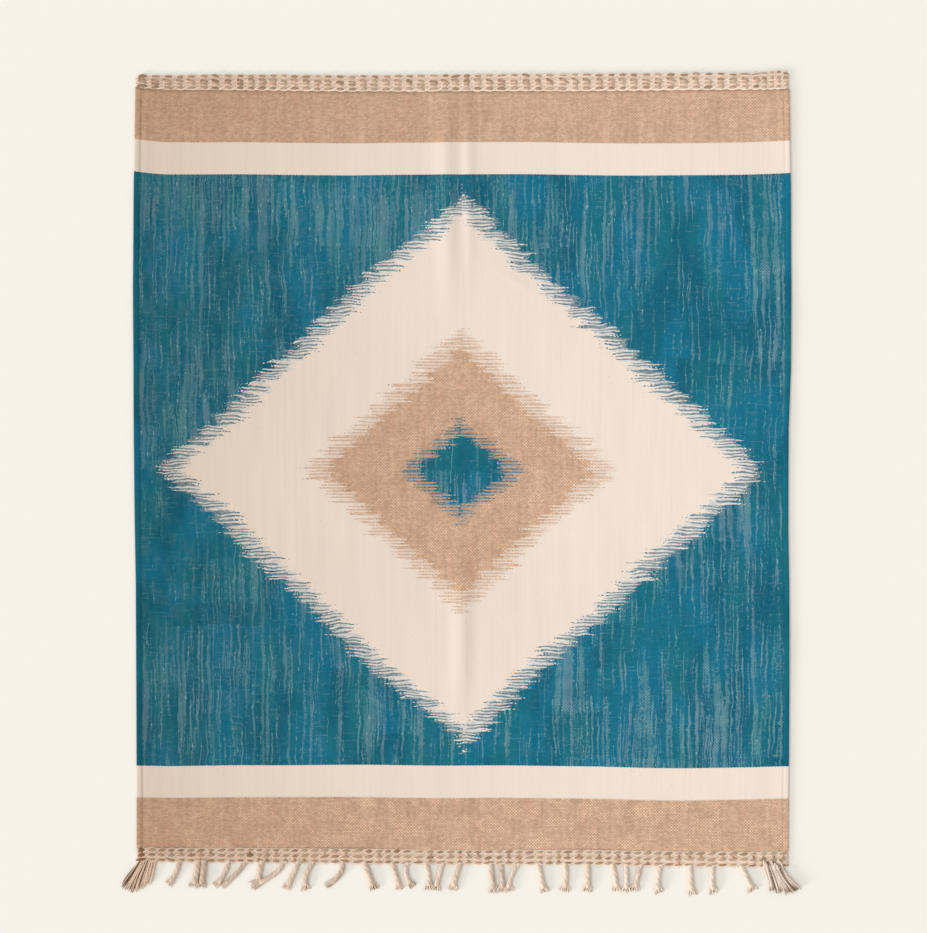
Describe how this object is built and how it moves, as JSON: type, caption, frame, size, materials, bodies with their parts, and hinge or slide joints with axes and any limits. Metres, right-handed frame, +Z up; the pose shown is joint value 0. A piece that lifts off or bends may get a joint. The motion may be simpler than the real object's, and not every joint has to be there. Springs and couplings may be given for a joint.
{
  "type": "berber kilim rug",
  "caption": "Flat-woven wool rug of plain weave with soft folds, corded selvedges, a plaited band along each end, and a sparse twisted fringe with corner tassels at one end.",
  "frame": {"origin": "On the floor under the cloth's centreline, midway along the whole length with the fringe", "axes": "+X across the cloth to the right, +Y along it towards the end without a fringe, +Z up from the floor"},
  "size_m": [2.6009, 3.1587, 0.013],
  "materials": {
    "woven_wool": "matte weft-faced wool in blue, cream and tan",
    "plaited_wool": "matte plaited wool in tan and pale beige",
    "fringe_wool": "matte twisted wool warp in beige with some dark brown"
  },
  "bodies": {
    "root": {"rug_field": "woven_wool", "end_band_plain": "plaited_wool", "end_band_fringed": "fringe_wool"}
  },
  "joints": []
}
